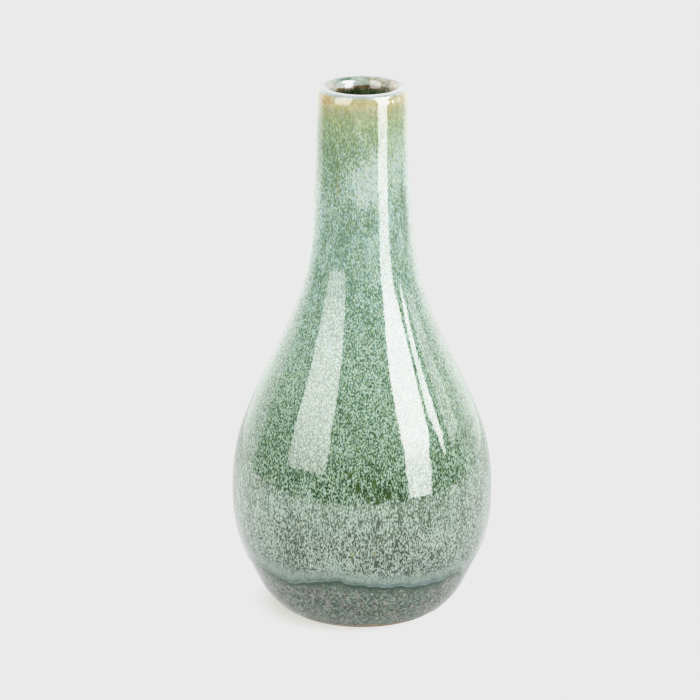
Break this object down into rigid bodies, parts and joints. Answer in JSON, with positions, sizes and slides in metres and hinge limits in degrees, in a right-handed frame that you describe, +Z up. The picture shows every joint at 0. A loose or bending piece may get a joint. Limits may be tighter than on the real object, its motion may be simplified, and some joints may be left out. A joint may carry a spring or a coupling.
{
  "type": "bud vase",
  "caption": "Bud vase with a rounded belly and a long narrow neck, turned in stoneware, with a mottled green glaze over a darker coat at its foot.",
  "frame": {"origin": "centre of the foot, at the level of the surface the vase stands on", "axes": "+Z up along the vase's axis, out of its mouth; -Y is the side shown at the front, +X to its right"},
  "size_m": [0.0802, 0.0802, 0.165],
  "materials": {
    "bare_stoneware": "matte",
    "base_glaze": "gloss",
    "over_glaze": "gloss",
    "liner_glaze": "gloss"
  },
  "bodies": {
    "root": {"stoneware_body": "bare_stoneware", "base_glaze": "base_glaze", "over_glaze": "over_glaze", "liner_glaze": "liner_glaze", "recess_glaze": "base_glaze"}
  },
  "joints": []
}
